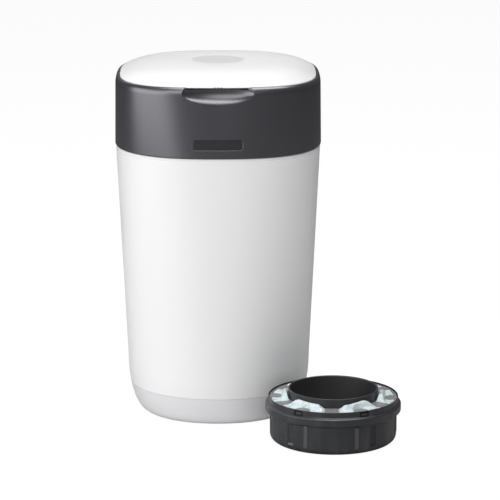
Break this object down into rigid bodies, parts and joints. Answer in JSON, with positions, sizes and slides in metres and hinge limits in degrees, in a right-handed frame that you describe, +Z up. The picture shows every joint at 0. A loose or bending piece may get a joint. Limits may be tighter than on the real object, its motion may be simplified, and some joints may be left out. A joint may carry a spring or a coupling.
{
  "type": "nappy bin",
  "caption": "Tall soft-cornered bin with a lift-off dark head, hinged domed lid, turning cassette carrier, swinging film cutter and a loose ring-shaped film cassette.",
  "frame": {"origin": "centre of the tub's foot on the floor", "axes": "+Z up, front with the finger scoop towards -Y, +X to the right seen from the front"},
  "size_m": [0.3552, 0.3738, 0.4499],
  "materials": {
    "white_shell": "satin white moulding",
    "pale_shell": "satin pale grey moulding",
    "soft_pad": "soft grey",
    "dark_shell": "fine satin charcoal",
    "plaque": "smooth charcoal",
    "dark_inner": "fine satin charcoal",
    "steel": "bright zinc",
    "grey_plastic": "satin grey",
    "acetal": "natural acetal",
    "soft_rubber": "soft dark",
    "cutter_red": "satin red",
    "inlay_grey": "smooth pale grey",
    "cassette_dark": "satin near-black",
    "cassette_grey": "satin grey",
    "film": "thin pale turquoise film"
  },
  "bodies": {
    "tub": {"tub_body": "white_shell", "base_cup": "pale_shell", "foot_pads": "soft_pad"},
    "head": {"head_collar": "dark_shell", "front_plaque": "plaque", "head_deck": "dark_inner", "deck_screws": "steel", "hinge_bracket": "dark_shell", "hinge_pin": "steel", "latch_keeper": "grey_plastic", "retaining_ring": "dark_inner", "retaining_screws": "steel", "detent_pawls": "acetal", "film_gripper": "soft_rubber", "gripper_clamp": "dark_inner", "gripper_screws": "steel", "cutter_pivot": "steel"},
    "carrier": {"cassette_carrier": "dark_inner", "ratchet_ring": "acetal", "twist_ring": "grey_plastic"},
    "cutter": {"cutter_arm": "cutter_red", "cutter_blade": "steel"},
    "lid": {"lid_panel": "white_shell", "lid_inlay": "inlay_grey", "lid_liner": "white_shell", "lid_seal": "soft_rubber", "lid_tongue": "grey_plastic"},
    "cassette": {"cassette_cup": "cassette_dark", "cassette_sleeve": "cassette_dark", "cassette_cover": "cassette_grey", "film_pack": "film"}
  },
  "joints": [
    {"name": "head_lift", "type": "slide", "parent": "tub", "child": "head", "axis": [0, 0, 1], "range_m": [0, 0.15]},
    {"name": "lid_hinge", "type": "hinge", "parent": "head", "child": "lid", "pos_m": [0, 0.1285, 0.4348], "axis": [-1, 0, 0], "range_deg": [0, 100]},
    {"name": "carrier_twist", "type": "hinge", "parent": "head", "child": "carrier", "pos_m": [0, 0, 0.38], "axis": [0, 0, 1], "continuous": true},
    {"name": "cutter_swing", "type": "hinge", "parent": "head", "child": "cutter", "pos_m": [-0.06534, 0.06534, 0.3], "axis": [0, 0, -1], "range_deg": [0, 70]},
    {"name": "cassette_lift", "type": "slide", "parent": "tub", "child": "cassette", "axis": [0.1998, -0.1998, 0.9592], "range_m": [0, 0.3]}
  ]
}
